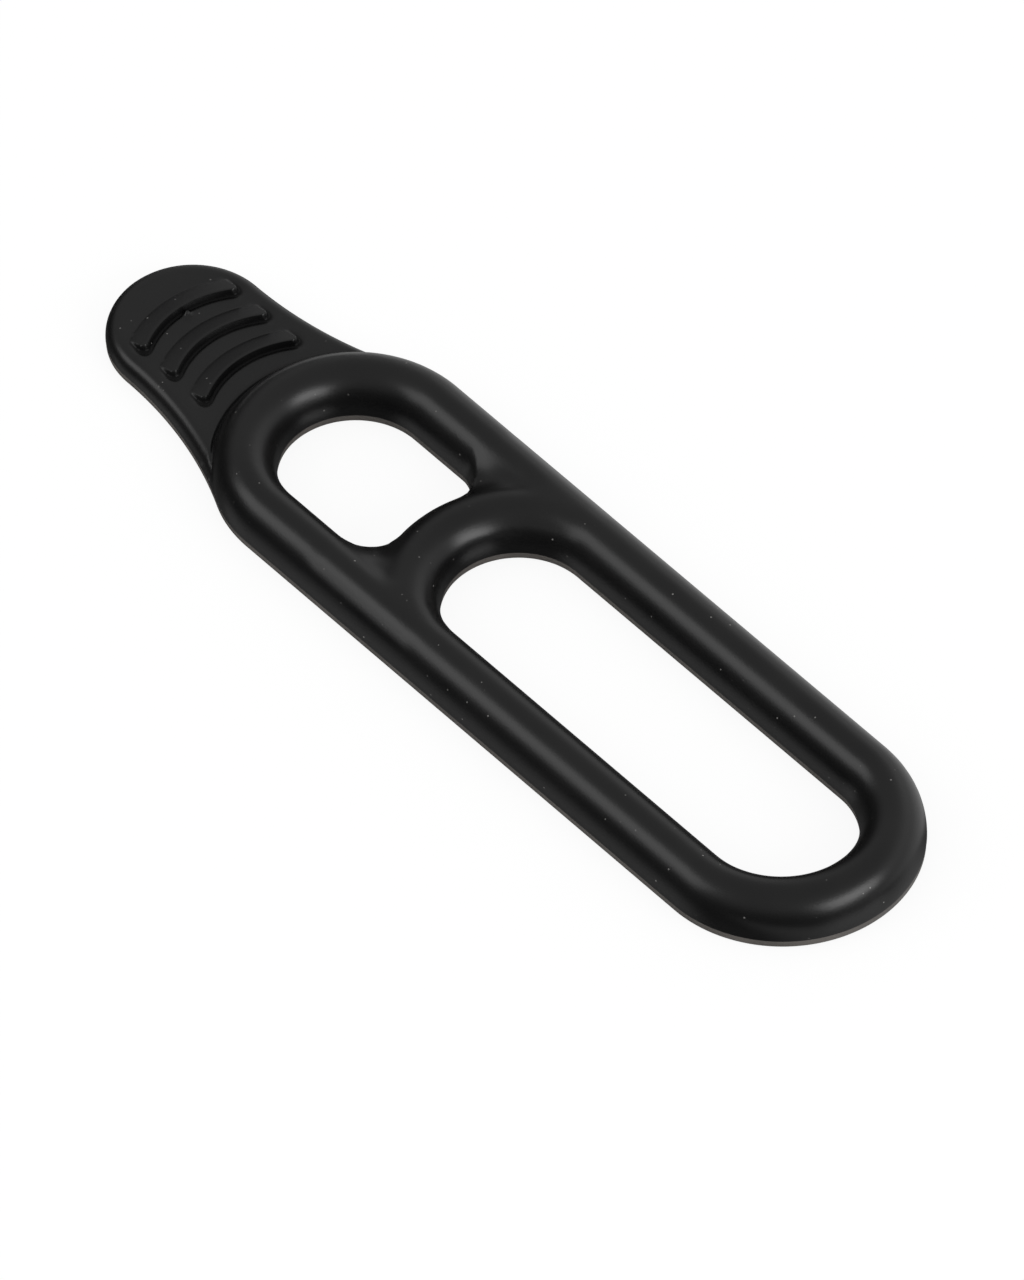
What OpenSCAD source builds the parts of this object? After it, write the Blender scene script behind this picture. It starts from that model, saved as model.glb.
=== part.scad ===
// One-piece moulded rubber stretch strap: a ribbed pull tab, a head loop round a window, a bridge and
// a long tail loop round a slot.  The moulding has no separate pieces, so it is drawn as its own
// zones: stiff zones that keep their shape, and short flex zones between them where the rubber bends
// or stretches.  Frame: origin under the middle of the strap, +X to the tail, +Z up, millimetres.

/* [Strap] */
// Length of the strap, from the tab's tip to the outside of the tail
strap_length = 80; // [70:0.5:110]
// Width of both loops
strap_width = 20.3; // [18:0.1:26]
// Height of the crowned loops
crown_height = 3.85; // [3:0.05:5]
// Height of the upright band below the crown, up to the mould's parting line
band_height = 0.7; // [0.4:0.05:1.2]
// Run of the crown, from an edge up to its full height
crown_run = 2.32; // [1.5:0.01:2.32]

/* [Loops] */
// Width of each side rail
rail_width = 4.65; // [4.65:0.05:5.5]
// Width of the head loop's wall beside the tab
head_wall = 4.75; // [4.65:0.05:6]
// Width of the tail's wall
tail_wall = 4.8; // [4.65:0.05:6]
// Clear length of the window in the head loop, on the centre line
window_length = 12.75; // [10:0.05:18]
// Corner radius of the window, beside the bridge
window_corner_r = 2.4; // [1.5:0.1:4]
// Width of the bridge between the window and the slot
bridge_width = 4.9; // [4.65:0.05:7]

/* [Pull tab] */
// Length of the tab, from its tip to the head loop
tab_length = 13.7; // [12.5:0.05:18]
// Thickness of the tab
tab_thickness = 2; // [1.5:0.1:2.6]
// Radius of the tab's round tip
tab_tip_r = 6.2; // [5.2:0.05:7]
// Radius that eases the tab's upper edge
tab_edge_r = 0.8; // [0.4:0.05:1.2]

/* [Grip ribs] */
// Spacing of the ribs
rib_pitch = 3.3; // [2.8:0.05:3.6]
// Distance from the head loop to the nearest rib's steep face, on the centre line
rib_setback = 2.1; // [1.9:0.05:2.5]
// Radius of each rib's steep face, seen from above
rib_arc_r = 7.5; // [6.5:0.1:12]
// Length of each rib across the tab
rib_span = 9.1; // [7:0.1:9.6]
// Width of a rib, from its steep face to the foot of its ramp
rib_width = 1.6; // [1:0.05:2]
// Height of a rib above the tab
rib_rise = 0.45; // [0.3:0.05:0.8]
// Width of the small flat along a rib's top
rib_flat = 0.2; // [0.1:0.05:0.4]

/* [Flex zones] */
// Length of each rail zone that bends
bend_zone = 2.6; // [2.4:0.05:3.2]
// Length of the rail zone that stretches
stretch_zone = 3; // [2:0.1:4]
// Length of the tab's neck zone that bends
neck_zone = 2.4; // [2:0.05:2.8]

/* [Hidden] */
$fn = 96;
flare_fn = 3 * $fn;

// Colours: the stiff zones, and the flex zones a little lighter so that a plain view tells them apart
rubber = "#202022";
flexing = "#3c3c40";

// Cutters run this far past what they cut
over = 1;
// Round cutters turn this far past the ends of what they cut, in degrees
over_angle = 4;
// Straight pieces in each quarter curve of a moulded edge
edge_steps = 9;
left = 1;
right = -1;

// Plan of the outside
loop_r = strap_width / 2;
tip_x = -strap_length / 2;
tail_x = strap_length / 2;
tip_center_x = tip_x + tab_tip_r;
head_x = tip_x + tab_length;
head_center_x = head_x + loop_r;
tail_center_x = tail_x - loop_r;

// Plan of the openings: both are as wide as the rails leave
opening_r = loop_r - rail_width;
window_x = head_x + head_wall;
window_center_x = window_x + opening_r;
bridge_x = window_x + window_length;
slot_x = bridge_x + bridge_width;
slot_center_x = slot_x + opening_r;
slot_tail_center_x = tail_x - tail_wall - opening_r;
bridge_r = slot_center_x - bridge_x;

// The window's two round corners touch its side and the bridge's arc
corner_y = opening_r - window_corner_r;
corner_x = slot_center_x - sqrt(pow(bridge_r + window_corner_r, 2) - pow(corner_y, 2));
corner_angle = atan2(corner_y, slot_center_x - corner_x);

// Each side of the tab is a hollow flare: a circle that touches the tip's circle beside its centre
// and then the head's circle, both from outside
centers_apart = head_center_x - tip_center_x;
flare_r = (pow(centers_apart, 2) + pow(tab_tip_r, 2) - pow(loop_r, 2)) / (2 * (loop_r - tab_tip_r));
flare_y = flare_r + tab_tip_r;
flare_angle = atan2(centers_apart, flare_y);
flare_end = [tip_center_x + flare_r * sin(flare_angle), flare_y - flare_r * cos(flare_angle)];
shoulder_end_x = flare_end.x - tab_edge_r;
tab_edge_band = tab_thickness - tab_edge_r;

// Zones along the straight rails: five stiff lengths with three bends and one stretch between them
rail_run = slot_tail_center_x - slot_center_x;
stiff_run = (rail_run - 3 * bend_zone - stretch_zone) / 5;
front_flex_x = slot_center_x + stiff_run;
front_rail_x = front_flex_x + bend_zone;
middle_flex_x = front_rail_x + stiff_run;
middle_rail_x = middle_flex_x + bend_zone;
stretch_x = middle_rail_x + stiff_run;
rear_rail_x = stretch_x + stretch_zone;
tail_flex_x = rear_rail_x + stiff_run;
tail_rail_x = tail_flex_x + bend_zone;

// The tab bends about a line across it, half way between the stiff plate and the shoulders.  The zone
// reaches a little way along the head loop, which leaves room for the ends of the curved ribs
neck_reach = 0.96;
neck_end_x = head_x + neck_reach;
neck_start_x = neck_end_x - neck_zone;

// Points of a quarter ellipse: from the edge at band height, in by run and up to top
function crown_points(edge, run, band, top) =
    [for (i = [0 : edge_steps])
        let (a = 90 * i / edge_steps)
        [edge + run * (1 - cos(a)), band + (top - band) * sin(a)]];

// Cross-section of a cutter that rounds an upper edge.  The edge is at radius or distance edge, and
// the material lies on the side that inward points to: +1 for larger values, -1 for smaller ones
module relief_section(edge, inward, run, band, top) {
    polygon(concat(
        crown_points(edge, inward * run, band, top),
        [[edge + inward * run, top + over],
         [edge - inward * over, top + over],
         [edge - inward * over, band]]));
}

// Cutter that rounds the upper edge along an arc about the z axis
module arc_relief(radius, inward, from_angle, sweep,
                  run = crown_run, band = band_height, top = crown_height) {
    rotate([0, 0, from_angle])
        rotate_extrude(angle = sweep)
            relief_section(radius, inward, run, band, top);
}

// Cutter that rounds the upper edge along a straight run at distance y, on one side of the strap
module straight_relief(from_x, to_x, y, inward, side) {
    mirror([0, side == left ? 0 : 1, 0])
        translate([from_x, 0, 0])
            rotate([90, 0, 90])
                linear_extrude(to_x - from_x)
                    relief_section(y, inward, crown_run, band_height, crown_height);
}

// Block that keeps one zone of a longer shape
module zone(from_x, to_x, from_y, to_y) {
    translate([from_x, from_y, -over])
        cube([to_x - from_x, to_y - from_y, crown_height + 2 * over]);
}

// Cross-section of a crowned wall between two edges: flat below, an upright band, and a crown from
// both edges
module wall_section(inner, outer) {
    polygon(concat(
        [[inner, 0]],
        crown_points(inner, crown_run, band_height, crown_height),
        [for (i = [edge_steps : -1 : 0]) crown_points(outer, -crown_run, band_height, crown_height)[i]],
        [[outer, 0]]));
}

// Straight length of a side rail
module rail(from_x, to_x, side) {
    mirror([0, side == left ? 0 : 1, 0])
        translate([from_x, 0, 0])
            rotate([90, 0, 90])
                linear_extrude(to_x - from_x)
                    wall_section(opening_r, loop_r);
}

// Half round end of a loop that opens towards the origin: its outside and its opening are round about
// two different points, and the opening's half circle starts at cut_x
module loop_end(outer_x, cut_x) {
    difference() {
        linear_extrude(crown_height) {
            difference() {
                union() {
                    translate([outer_x, 0])
                        circle(loop_r);
                    translate([cut_x, -loop_r])
                        square([outer_x - cut_x, strap_width]);
                }
                translate([cut_x, 0])
                    circle(opening_r);
                translate([cut_x - strap_width, -loop_r])
                    square([strap_width, strap_width]);
            }
        }
        translate([outer_x, 0, 0])
            arc_relief(loop_r, -1, -90, 180);
        translate([cut_x, 0, 0])
            arc_relief(opening_r, 1, -90, 180);
        for (side = [left, right])
            straight_relief(cut_x, outer_x, loop_r, -1, side);
    }
}

// The tab's plate with an eased upper edge, from the middle of its round tip up to the head loop, with
// a hollow flare along each side
module tab_plate() {
    translate([tip_center_x, 0, 0])
        difference() {
            translate([0, -flare_end.y, 0])
                cube([flare_end.x - tip_center_x, 2 * flare_end.y, tab_thickness]);
            for (side = [left, right])
                mirror([0, side == left ? 0 : 1, 0])
                    translate([0, flare_y, 0]) {
                        translate([0, 0, -over])
                            cylinder(r = flare_r, h = tab_thickness + 2 * over, $fn = flare_fn);
                        arc_relief(flare_r, 1, -90 - over_angle, flare_angle + 2 * over_angle,
                                   tab_edge_r, tab_edge_band, tab_thickness, $fn = flare_fn);
                    }
        }
}

// Round tip of the tab, with an eased upper edge
module tab_tip() {
    color(rubber)
        translate([tip_center_x, 0, 0])
            difference() {
                cylinder(r = tab_tip_r, h = tab_thickness);
                translate([0, -loop_r, -over])
                    cube([loop_r, strap_width, tab_thickness + 2 * over]);
                arc_relief(tab_tip_r, -1, 90 - over_angle, 180 + 2 * over_angle,
                           tab_edge_r, tab_edge_band, tab_thickness);
            }
}

// Stiff plate of the pull tab, under the grip ribs
module tab_body() {
    color(rubber)
        difference() {
            tab_plate();
            zone(neck_start_x, head_center_x, -loop_r, loop_r);
        }
}

// One grip rib: a curved tooth with a ramp towards the tip and a steep face towards the loop.
// Rib 0 is the one nearest to the head loop
module grip_rib(index) {
    steep_x = head_x - rib_setback - index * rib_pitch;
    color(rubber)
        intersection() {
            translate([steep_x + rib_arc_r, 0, tab_thickness])
                rotate([0, 0, 90])
                    rotate_extrude(angle = 180)
                        polygon([[rib_arc_r, 0],
                                 [rib_arc_r + rib_width, 0],
                                 [rib_arc_r + rib_flat, rib_rise],
                                 [rib_arc_r, rib_rise]]);
            zone(tip_x, steep_x + rib_arc_r, -rib_span / 2, rib_span / 2);
        }
}

// The head loop's outside as a crowned disc, which shapes the plate that runs up to it
module head_disc() {
    translate([head_center_x, 0, 0])
        rotate_extrude()
            polygon(concat(
                [[0, -over], [loop_r, -over]],
                crown_points(loop_r, -crown_run, band_height, crown_height),
                [[0, crown_height]]));
}

// Thin neck where the tab bends, up to the head loop's crown
module neck_flex() {
    color(flexing)
        difference() {
            tab_plate();
            zone(tip_x - over, neck_start_x, -loop_r, loop_r);
            zone(neck_end_x, head_center_x, -loop_r, loop_r);
            head_disc();
        }
}

// The two thin shoulders that carry the tab's flare along the head loop
module tab_shoulders() {
    color(rubber)
        difference() {
            tab_plate();
            zone(tip_x - over, neck_end_x, -loop_r, loop_r);
            zone(shoulder_end_x, head_center_x, -loop_r, loop_r);
            head_disc();
        }
}

// Half round end of the head loop
module head_arc() {
    color(rubber)
        mirror([1, 0, 0])
            loop_end(-head_center_x, -window_center_x);
}

// Side of the head loop, beside the window
module side_rail(side) {
    color(rubber) rail(window_center_x, corner_x, side);
}

// Middle of the cross-piece between the window and the slot
module bridge() {
    color(rubber)
        translate([slot_center_x, 0, 0])
            rotate([0, 0, 180 - corner_angle])
                rotate_extrude(angle = 2 * corner_angle)
                    wall_section(opening_r, bridge_r);
}

// Root of the bridge in a side rail, with the window's round corner and the slot's round start
module bridge_root(side) {
    color(rubber)
        mirror([0, side == left ? 0 : 1, 0])
            difference() {
                linear_extrude(crown_height)
                    polygon([[corner_x, corner_y],
                             [corner_x, loop_r],
                             [slot_center_x, loop_r],
                             [slot_center_x, 0]]);
                translate([corner_x, corner_y, -over])
                    cylinder(r = window_corner_r, h = crown_height + 2 * over);
                translate([slot_center_x, 0, -over])
                    cylinder(r = opening_r, h = crown_height + 2 * over);
                translate([corner_x, corner_y, 0])
                    arc_relief(window_corner_r, 1,
                               -corner_angle - over_angle, 90 + corner_angle + 2 * over_angle);
                translate([slot_center_x, 0, 0])
                    arc_relief(opening_r, 1, 90 - over_angle, 90 + 2 * over_angle);
                straight_relief(corner_x - over, slot_center_x + over, loop_r, -1, left);
            }
}

// Stiff rail between the bridge's root and the first bend
module root_rail(side) {
    color(rubber) rail(slot_center_x, front_flex_x, side);
}

// Rail zone that bends between the head loop and the front rails
module front_flex(side) {
    color(flexing) rail(front_flex_x, front_rail_x, side);
}

module front_rail(side) {
    color(rubber) rail(front_rail_x, middle_flex_x, side);
}

// Rail zone that bends between the front and the middle rails
module middle_flex(side) {
    color(flexing) rail(middle_flex_x, middle_rail_x, side);
}

module middle_rail(side) {
    color(rubber) rail(middle_rail_x, stretch_x, side);
}

// Rail zone that lengthens when the strap is pulled
module stretch_rail(side) {
    color(flexing) rail(stretch_x, rear_rail_x, side);
}

module rear_rail(side) {
    color(rubber) rail(rear_rail_x, tail_flex_x, side);
}

// Rail zone that bends between the rear rails and the tail
module tail_flex(side) {
    color(flexing) rail(tail_flex_x, tail_rail_x, side);
}

module tail_rail(side) {
    color(rubber) rail(tail_rail_x, slot_tail_center_x, side);
}

// Half round tail end of the slot
module tail_arc() {
    color(rubber) loop_end(tail_center_x, slot_tail_center_x);
}

tab_tip();
tab_body();
grip_rib(2);  // grip_rib_outer
grip_rib(1);  // grip_rib_middle
grip_rib(0);  // grip_rib_inner
neck_flex();
tab_shoulders();
head_arc();
side_rail(left);  // side_rail_left
side_rail(right);  // side_rail_right
bridge();
bridge_root(left);  // bridge_root_left
bridge_root(right);  // bridge_root_right
root_rail(left);  // root_rail_left
root_rail(right);  // root_rail_right
front_flex(left);  // front_flex_left
front_flex(right);  // front_flex_right
front_rail(left);  // front_rail_left
front_rail(right);  // front_rail_right
middle_flex(left);  // middle_flex_left
middle_flex(right);  // middle_flex_right
middle_rail(left);  // middle_rail_left
middle_rail(right);  // middle_rail_right
stretch_rail(left);  // stretch_left
stretch_rail(right);  // stretch_right
rear_rail(left);  // rear_rail_left
rear_rail(right);  // rear_rail_right
tail_flex(left);  // tail_flex_left
tail_flex(right);  // tail_flex_right
tail_rail(left);  // tail_rail_left
tail_rail(right);  // tail_rail_right
tail_arc();
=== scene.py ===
"""Visual model of a one-piece moulded rubber stretch strap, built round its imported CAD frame.

The strap is one smooth skin: a flat underside, an upright band up to the mould's parting line, and a
crowned top.  It is cut across the rails into closed pieces, one for each place where the rubber bends or
stretches.  Shapes are worked out in millimetres in the row frame and turned into metres at the end.
"""

import math

import bmesh
import bpy
import numpy as np
from mathutils import Matrix, Vector
from mathutils.geometry import delaunay_2d_cdt


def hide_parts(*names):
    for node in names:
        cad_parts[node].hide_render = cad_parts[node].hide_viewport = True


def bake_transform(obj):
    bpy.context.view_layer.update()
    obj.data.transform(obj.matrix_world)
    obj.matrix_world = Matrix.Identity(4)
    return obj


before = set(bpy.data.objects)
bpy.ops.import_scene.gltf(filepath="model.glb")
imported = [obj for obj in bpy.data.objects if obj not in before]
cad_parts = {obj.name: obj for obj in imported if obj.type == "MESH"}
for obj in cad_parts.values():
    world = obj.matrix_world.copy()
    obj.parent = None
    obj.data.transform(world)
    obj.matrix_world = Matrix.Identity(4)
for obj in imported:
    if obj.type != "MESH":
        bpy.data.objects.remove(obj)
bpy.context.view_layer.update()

MM = 0.001

# Plan of the strap, as in the CAD.  Each X is the centre of a round end, each R a radius in plan.
LOOP_R = 10.15
OPEN_R = 5.5
HEAD_X = -16.15
WINDOW_X = -16.05
SLOT_X = 1.6
SLOT_TAIL_X = 29.7
TAIL_X = 29.85
BRIDGE_R = 10.4
CORNER_R = 2.4
TIP_X = -33.8
TIP_R = 6.2
# Ends of the strap: the tail's skin stops just inside the CAD's box
TAB_END_X = TIP_X - TIP_R
TAIL_END_X = 39.995
# Middle line and half width of a rail
RAIL_Y = 0.5 * (OPEN_R + LOOP_R)
RAIL_HALF = 0.5 * (LOOP_R - OPEN_R)
# The window's corners, rounded between the rails and the bridge
CORNER_Y = OPEN_R - CORNER_R
CORNER_X = SLOT_X - math.sqrt((BRIDGE_R + CORNER_R) ** 2 - CORNER_Y**2)
CORNER_A = math.atan2(CORNER_Y, SLOT_X - CORNER_X)
# The tab's sides flare out in arcs that meet the head loop's outside
APART = HEAD_X - TIP_X
FLARE_R = (APART**2 + TIP_R**2 - LOOP_R**2) / (2 * (LOOP_R - TIP_R))
FLARE_Y = FLARE_R + TIP_R
FLARE_A = math.atan2(APART, FLARE_Y)
FLARE_END_X = TIP_X + FLARE_R * math.sin(FLARE_A)
HEAD_A = math.atan2(FLARE_Y - FLARE_R * math.cos(FLARE_A), FLARE_END_X - HEAD_X)

# Heights of the parting line, the crown and the tab, and how far in the tab's rounded edge reaches
BAND = 0.7
CROWN = 3.85
RISE = CROWN - BAND
TAB_TOP = 2.0
TAB_RUN = 0.95

# Grip ribs: the middles of their steep faces, from the head loop outwards, and their sizes
RIB_X = (-28.4, -31.7, -35.0)
RIB_R = 7.5
RIB_W = 1.6
RIB_END = 4.55
RIB_CORNER = 0.75
RIB_H = 0.45
# A rib takes the part of its circle that lies further than this from the centre in X
RIB_REACH = 3
# The steep face starts this far outside the rib's outline, and is this wide
FACE_OUT, FACE_W = 0.06, 0.15
# Width of the rib's flat top, and the bulge of the ramp behind it
RAMP_TOP, RAMP_BULGE = 0.22, 0.85
# Trough along the steep face's foot: depth, distance outside the outline, half width, and the width over
# which it fades out towards the ramp's end
FOOT_DEPTH, FOOT_OUT, FOOT_W, FOOT_FADE = 0.06, 0.2, 0.13, 0.8
# Painted shade along the steep face: distance outside the outline, half width, and the height it starts at
SHADE_OUT, SHADE_W, SHADE_FROM = 0.08, 0.17, 1.5
# Small nub of spare rubber on the outer rib's steep face: place, radius, height, and the radius round it
# that gets no painted shade
NUB = (-34.64, 0.27)
NUB_R = 0.24
NUB_H = 0.34
NUB_LIT_R = 0.22
# Groove where the tab meets the loop: depth, place in from the loop's outside, and half width
GROOVE = (0.2, 0.06, 0.13)

# Where the strap is cut across its rails into pieces
CUTS = (3.33, 9.39, 15.45, 21.91)
X0 = CUTS[0]

# Spacing of points along the edges, and along the window's tight corners
STEP = 0.3
FINE_STEP = 0.16
HALF = math.pi / 2

# Angles at which the crown's quarter ellipses are sampled, and their distances from the edge on a rail
CROWN_DEG = np.array([6, 12, 19, 26, 33, 41, 49, 57, 65, 73, 81])
CROWN_D = RAIL_HALF * (1 - np.cos(np.radians(CROWN_DEG)))
# Rows down the side, with a small step under the parting line and a bevel at the underside: distance in
# from the edge, and height
WALL = ((0.0, 0.64), (0.04, 0.59), (0.04, 0.12), (0.08, 0.04), (0.16, 0.0))
UNDER_IN = WALL[-1][0]
# Faces lower and steeper than this belong to the band, and edges sharper than this stay sharp
BAND_TOP = 0.66
BAND_TILT = 0.6
SHARP_DEG = 38
# Vertices closer than this, in metres, are one
WELD = 2e-7

# Rows of points along the groove between tab and loop, by their distance in from the loop's outside
GROOVE_ROWS = (-0.5, -0.32, -0.2, -0.12, -0.05, 0.01, 0.06, 0.11, 0.16, 0.2)
GROOVE_ROWS += (0.24, 0.3, 0.38, 0.5, 0.66, 0.86, 1.1, 1.4, 1.75)
# Rows of points along each rib, by their distance behind its steep face
RIB_ROWS = (-0.6, -0.5, -0.42, -0.35, -0.29, -0.24, -0.19, -0.14, -0.1, -0.06, -0.02)
RIB_ROWS += (0.03, 0.09, 0.16, 0.24, 0.4, 0.7, 1.0, 1.3, 1.5, 1.6, 1.72)
# Part of the neck where the underside's triangles are fine, because it bends there
NECK = (-29.4, -24.6)
# Steps of the triangular grids on the underside, its neck, the top and the ribs' ends
UNDER_STEP, NECK_STEP, TOP_STEP, PATCH_STEP = 0.9, 0.3, 0.34, 0.085
# Least distance that each kind of inner point keeps from the kinds before it
RING_GAP, GROOVE_GAP, RIB_GAP, MIDDLE_GAP, ROOT_GAP, TOP_GAP = 0.012, 0.04, 0.035, 0.1, 0.08, 0.2
# The ribs' rows stop here, at the patches on their ends
ROW_END, PATCH_FROM = 3.75, 3.7

# Grid on which the bridge's roots are worked out
ROOT_STEP = 0.06
ROOT_X = np.arange(-12.6, 3.2, ROOT_STEP)
ROOT_Y = np.arange(-10.8, 10.8, ROOT_STEP)
# Web between bridge and rail: its height at the bridge's edge, what it gains towards the rail and over what
# width, and how fast and how far it rises away from the window
WEB_LOW = 2.15
WEB_GAIN, WEB_GAIN_W = 0.2, 0.4
WEB_SLOPE, WEB_SLOPE_W = 0.42, 2.6
# The web sinks at this slope once it is this far under the bridge or the rail
SINK_SLOPE, SINK_FROM = 1.6, 0.5
# Roundness of the hollow between bridge and rail, and between these and the web
RIM_ROUND, WEB_ROUND = 0.9, 1.3
# Softening: its radius, the untouched strip along the edges, and the widths over which it fades in from
# that strip and from the two ends of the bridge's roots
ROOT_BLUR = 0.38
STRIP = 0.2
FADE_EDGE, FADE_END = 0.55, 1.6


def crown(d, run, band=BAND, rise=RISE):
    """Height of a quarter ellipse that starts upright at an edge, d from it."""
    k = np.clip(d / run, 0, 1)
    return band + rise * np.sqrt(np.clip(1 - (1 - k) ** 2, 0, 1))


def ridge(t):
    """Height of a whole crown across a wall, t = -1 and 1 at its edges, carried on downwards outside."""
    over = BAND + RISE * np.sqrt(np.clip(1 - t * t, 0, 1))
    return np.where(np.abs(t) < 1, over, BAND - 2 * (np.abs(t) - 1))


def soft_max(a, b, k):
    """The greater of a and b, rounded where they are less than k apart."""
    h = np.clip(k - np.abs(a - b), 0, None) / k
    return np.maximum(a, b) + h * h * k / 4


def arc(cx, cy, r, a0, a1, step):
    """Points on an arc from angle a0 to a1."""
    n = max(2, int(math.ceil(abs(a1 - a0) * r / step)))
    a = np.linspace(a0, a1, n + 1)
    return np.c_[cx + r * np.cos(a), cy + r * np.sin(a)]


def line(p, q, step):
    """Points from p to q."""
    n = max(1, int(math.ceil(math.dist(p, q) / step)))
    k = np.linspace(0, 1, n + 1)[:, None]
    return np.array(p) * (1 - k) + np.array(q) * k


def chain(*runs):
    """Runs of points joined end to end, each shared point once."""
    return np.vstack([runs[0]] + [run[1:] for run in runs[1:]])


# Outer edge of the head piece, from its cut on the right side round the tab to its cut on the left side
upper = chain(
    arc(TIP_X, 0, TIP_R, math.pi, HALF, STEP),
    arc(TIP_X, FLARE_Y, FLARE_R, -HALF, -HALF + FLARE_A, STEP),
    arc(HEAD_X, 0, LOOP_R, HEAD_A, HALF, STEP),
    line((HEAD_X, LOOP_R), (X0, LOOP_R), STEP),
)
lower = upper[::-1] * (1, -1)
OUTER = chain(lower, upper)
# Slot edge of the head piece, from the left cut round to the right cut
SLOT = chain(
    line((X0, OPEN_R), (SLOT_X, OPEN_R), STEP),
    arc(SLOT_X, 0, OPEN_R, HALF, 3 * HALF, STEP),
    line((SLOT_X, -OPEN_R), (X0, -OPEN_R), STEP),
)
# Window edge, closed
win_upper = chain(
    arc(SLOT_X, 0, BRIDGE_R, math.pi, math.pi - CORNER_A, FINE_STEP),
    arc(CORNER_X, CORNER_Y, CORNER_R, -CORNER_A, HALF, FINE_STEP),
    line((CORNER_X, OPEN_R), (WINDOW_X, OPEN_R), STEP),
    arc(WINDOW_X, 0, OPEN_R, HALF, math.pi, STEP),
)
WINDOW = np.vstack([win_upper, win_upper[::-1][1:-1] * (1, -1)])


def inward_normals(points, closed, distance):
    """Unit normals along an edge, on the side where the rubber is and distance() is above 0."""
    if closed:
        d = np.roll(points, -1, 0) - np.roll(points, 1, 0)
    else:
        d = np.gradient(points, axis=0)
        d[0], d[-1] = points[1] - points[0], points[-1] - points[-2]
    d /= np.linalg.norm(d, axis=1)[:, None]
    normals = np.c_[-d[:, 1], d[:, 0]]
    test = points + normals * STEP
    return normals if np.median(distance(test[:, 0], test[:, 1])) > 0 else -normals


def distance_to_chain(points, closed_chain, batch=2000):
    """Distance of each point to a closed chain, in batches to save memory."""
    a = closed_chain
    ab = np.roll(closed_chain, -1, 0) - a
    best = np.empty(len(points))
    for i in range(0, len(points), batch):
        q = points[i : i + batch, None, :]
        k = np.clip(((q - a) * ab).sum(2) / (ab**2).sum(1), 0, 1)
        best[i : i + batch] = np.linalg.norm(q - (a + k[..., None] * ab), axis=2).min(1)
    return best


def from_loop(x, y):
    """Distance in from the loops' outside, negative outside it."""
    y = np.abs(y)
    head = LOOP_R - np.hypot(x - HEAD_X, y)
    tail = LOOP_R - np.hypot(x - TAIL_X, y)
    return np.where(x < HEAD_X, head, np.where(x > TAIL_X, tail, LOOP_R - y))


def from_tab(x, y):
    """Distance in from the tab's outside, negative outside it."""
    y = np.abs(y)
    tip = TIP_R - np.hypot(x - TIP_X, y)
    flare = np.hypot(x - TIP_X, y - FLARE_Y) - FLARE_R
    return np.where(x < TIP_X, tip, flare)


def from_outside(x, y):
    """Distance in from the outside of the tab and the loops."""
    return np.where(x < FLARE_END_X, from_tab(x, y), from_loop(x, y))


def from_slot(x, y):
    """Distance from the slot's edge on the head piece, negative inside the slot."""
    y = np.abs(y)
    return np.where(x < SLOT_X, np.hypot(x - SLOT_X, y) - OPEN_R, y - OPEN_R)


def from_window(x, y):
    """Distance from the window's edge, negative inside the window."""
    d = distance_to_chain(np.c_[x, y], WINDOW)
    ay = np.abs(y)
    inside = (np.hypot(x - SLOT_X, y) > BRIDGE_R) & (ay < OPEN_R) & (x < SLOT_X)
    inside &= (x > WINDOW_X) | (np.hypot(x - WINDOW_X, y) < OPEN_R)
    wedge = (x > CORNER_X) & (ay > CORNER_Y - (x - CORNER_X) * math.tan(CORNER_A))
    inside &= ~wedge | (np.hypot(x - CORNER_X, ay - CORNER_Y) < CORNER_R)
    return np.where(inside, -d, d)


def from_edges(x, y):
    """Distance in from the nearest edge of the head piece's plan."""
    return np.minimum(np.minimum(from_outside(x, y), from_slot(x, y)), from_window(x, y))


def in_plan(x, y, inset=0.0):
    """Whether a point lies on the head piece, further in than inset from every edge."""
    return (from_edges(x, y) > inset) & (x < X0)


def rib_place(x, y, apex):
    """Distance behind a rib's steep face, distance in from its rounded outline, and where it applies."""
    q = np.hypot(x - apex - RIB_R, y) - RIB_R
    end = RIB_END - np.abs(y)
    c = RIB_CORNER
    inside = np.where((q < c) & (end < c), c - np.hypot(c - q, c - end), np.minimum(q, end))
    steep = np.clip((RIB_W - q) / FOOT_FADE, 0, 1) * (x < apex + RIB_R - RIB_REACH)
    return q, inside, steep


def rib_height(x, y):
    """Height of the grip ribs above the tab: a ramp, and a steep face that turns round both ends."""
    z = np.zeros_like(x)
    for apex in RIB_X:
        q, inside, steep = rib_place(x, y, apex)
        face = np.clip((inside + FACE_OUT) / FACE_W, 0, 1)
        ramp = np.clip((RIB_W - q) / (RIB_W - RAMP_TOP), 0, 1) ** RAMP_BULGE
        foot = FOOT_DEPTH * np.exp(-(((inside + FOOT_OUT) / FOOT_W) ** 2))
        z = z + (steep > 0) * (RIB_H * face * ramp - foot * steep)
    nub = np.hypot(x - NUB[0], y - NUB[1])
    return z + NUB_H * np.exp(-((nub / NUB_R) ** 2))


def rib_shade(x, y, z):
    """Share of painted shade: 1 along the steep faces and their feet, where the ribs keep the light off,
    and 0 elsewhere.
    """
    shade = np.zeros_like(x)
    for apex in RIB_X:
        _, inside, steep = rib_place(x, y, apex)
        shade = np.maximum(shade, steep * np.exp(-(((inside + SHADE_OUT) / SHADE_W) ** 4)))
    nub = np.hypot(x - NUB[0], y - NUB[1])
    return shade * (z > SHADE_FROM) * (1 - np.exp(-((nub / NUB_LIT_R) ** 2)))


def blur(field):
    """A field on the roots' grid, softened in both directions."""
    k = np.arange(-20, 21) * ROOT_STEP
    k = np.exp(-0.5 * (k / ROOT_BLUR) ** 2)
    k /= k.sum()
    field = np.apply_along_axis(np.convolve, 0, field, k, "same")
    return np.apply_along_axis(np.convolve, 1, field, k, "same")


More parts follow.
